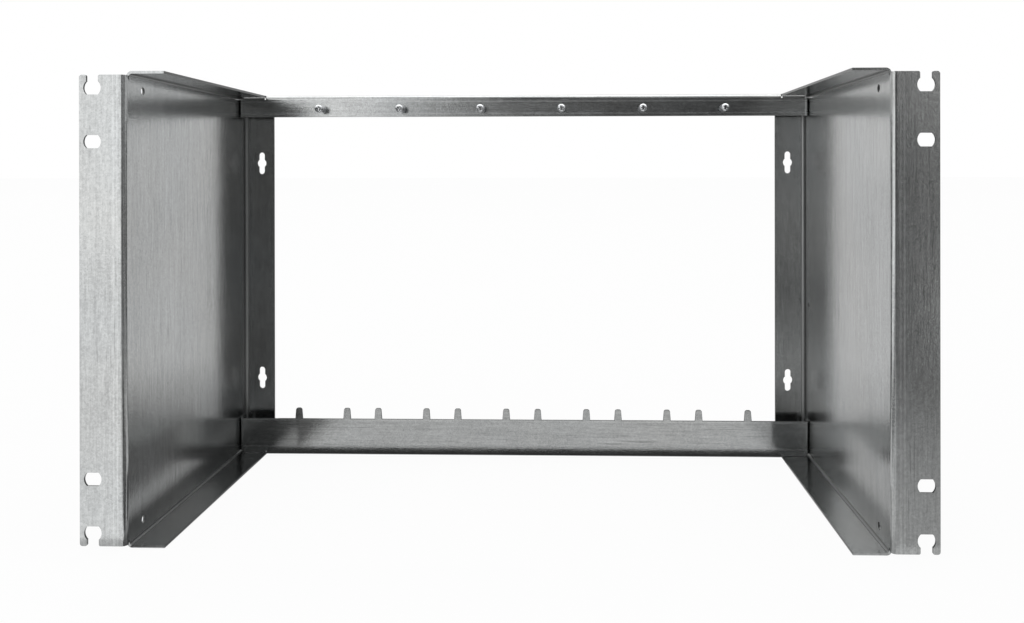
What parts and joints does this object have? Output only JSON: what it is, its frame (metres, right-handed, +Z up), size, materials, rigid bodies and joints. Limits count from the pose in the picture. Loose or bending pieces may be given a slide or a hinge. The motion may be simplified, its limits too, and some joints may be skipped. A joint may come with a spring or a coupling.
{
  "type": "open 19-inch module mounting frame",
  "caption": "Open 19-inch rack frame folded from zinc-coated steel: ears with slots, keyhole rear flanges, and two cross rails with screws above and hooks below to carry modules.",
  "frame": {"origin": "middle of the footprint, on the surface that the frame's lower lips stand on", "axes": "+Z up; +X to the right seen from the front, along the rails; the ears are at the front, -Y, and the rear flanges at +Y"},
  "size_m": [0.48, 0.19, 0.2708],
  "materials": {
    "zinc_sheet": "satin",
    "nut_zinc": "satin",
    "screw_zinc": "gloss"
  },
  "bodies": {
    "frame": {"left_side_panel": "zinc_sheet", "right_side_panel": "zinc_sheet", "top_rail": "zinc_sheet", "bottom_rail": "zinc_sheet", "rivet_nut_1": "nut_zinc", "rivet_nut_2": "nut_zinc", "rivet_nut_3": "nut_zinc", "rivet_nut_4": "nut_zinc", "rivet_nut_5": "nut_zinc", "rivet_nut_6": "nut_zinc"},
    "screw_1": {"module_screw_1": "screw_zinc"},
    "screw_2": {"module_screw_2": "screw_zinc"},
    "screw_3": {"module_screw_3": "screw_zinc"},
    "screw_4": {"module_screw_4": "screw_zinc"},
    "screw_5": {"module_screw_5": "screw_zinc"},
    "screw_6": {"module_screw_6": "screw_zinc"}
  },
  "joints": [
    {"name": "screw_1_travel", "type": "slide", "parent": "frame", "child": "screw_1", "axis": [0, 1, 0], "range_m": [-0.004, 0.0088]},
    {"name": "screw_2_travel", "type": "slide", "parent": "frame", "child": "screw_2", "axis": [0, 1, 0], "range_m": [-0.004, 0.0088]},
    {"name": "screw_3_travel", "type": "slide", "parent": "frame", "child": "screw_3", "axis": [0, 1, 0], "range_m": [-0.004, 0.0088]},
    {"name": "screw_4_travel", "type": "slide", "parent": "frame", "child": "screw_4", "axis": [0, 1, 0], "range_m": [-0.004, 0.0088]},
    {"name": "screw_5_travel", "type": "slide", "parent": "frame", "child": "screw_5", "axis": [0, 1, 0], "range_m": [-0.004, 0.0088]},
    {"name": "screw_6_travel", "type": "slide", "parent": "frame", "child": "screw_6", "axis": [0, 1, 0], "range_m": [-0.004, 0.0088]}
  ]
}
